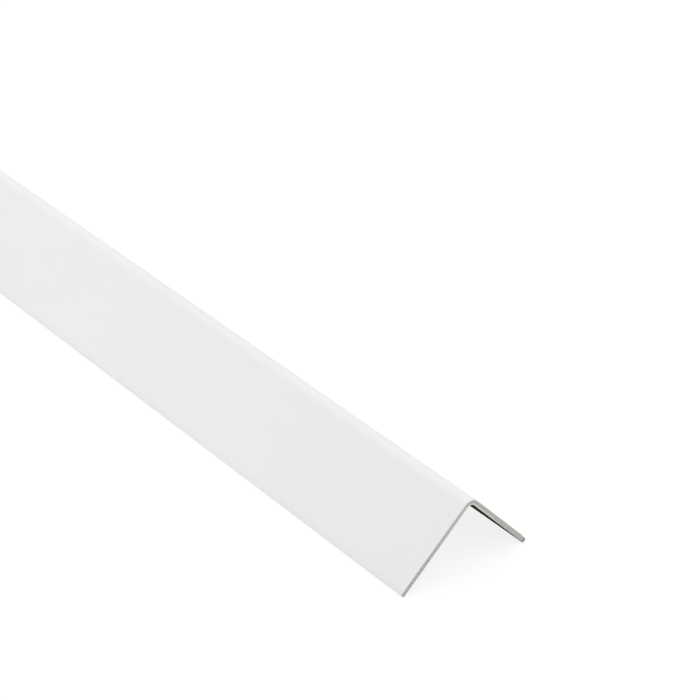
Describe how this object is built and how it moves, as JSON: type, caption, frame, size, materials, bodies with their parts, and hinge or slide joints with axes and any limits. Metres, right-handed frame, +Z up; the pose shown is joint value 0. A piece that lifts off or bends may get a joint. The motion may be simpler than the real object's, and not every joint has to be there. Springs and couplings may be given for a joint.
{
  "type": "corner guard moulding",
  "caption": "Long equal-leg angle of thin folded sheet, painted white outside, with a small rounded fold and square-sawn ends; it covers and protects the outside corner of a wall.",
  "frame": {"origin": "on the floor that the moulding lies on, midway along its length and midway between its two long edges", "axes": "+X along the moulding's length, +Z up through the fold, +Y from the one long edge to the other"},
  "size_m": [1, 0.0418, 0.0209],
  "materials": {
    "white_lacquer": "satin"
  },
  "bodies": {
    "root": {"corner_guard": "white_lacquer"}
  },
  "joints": []
}
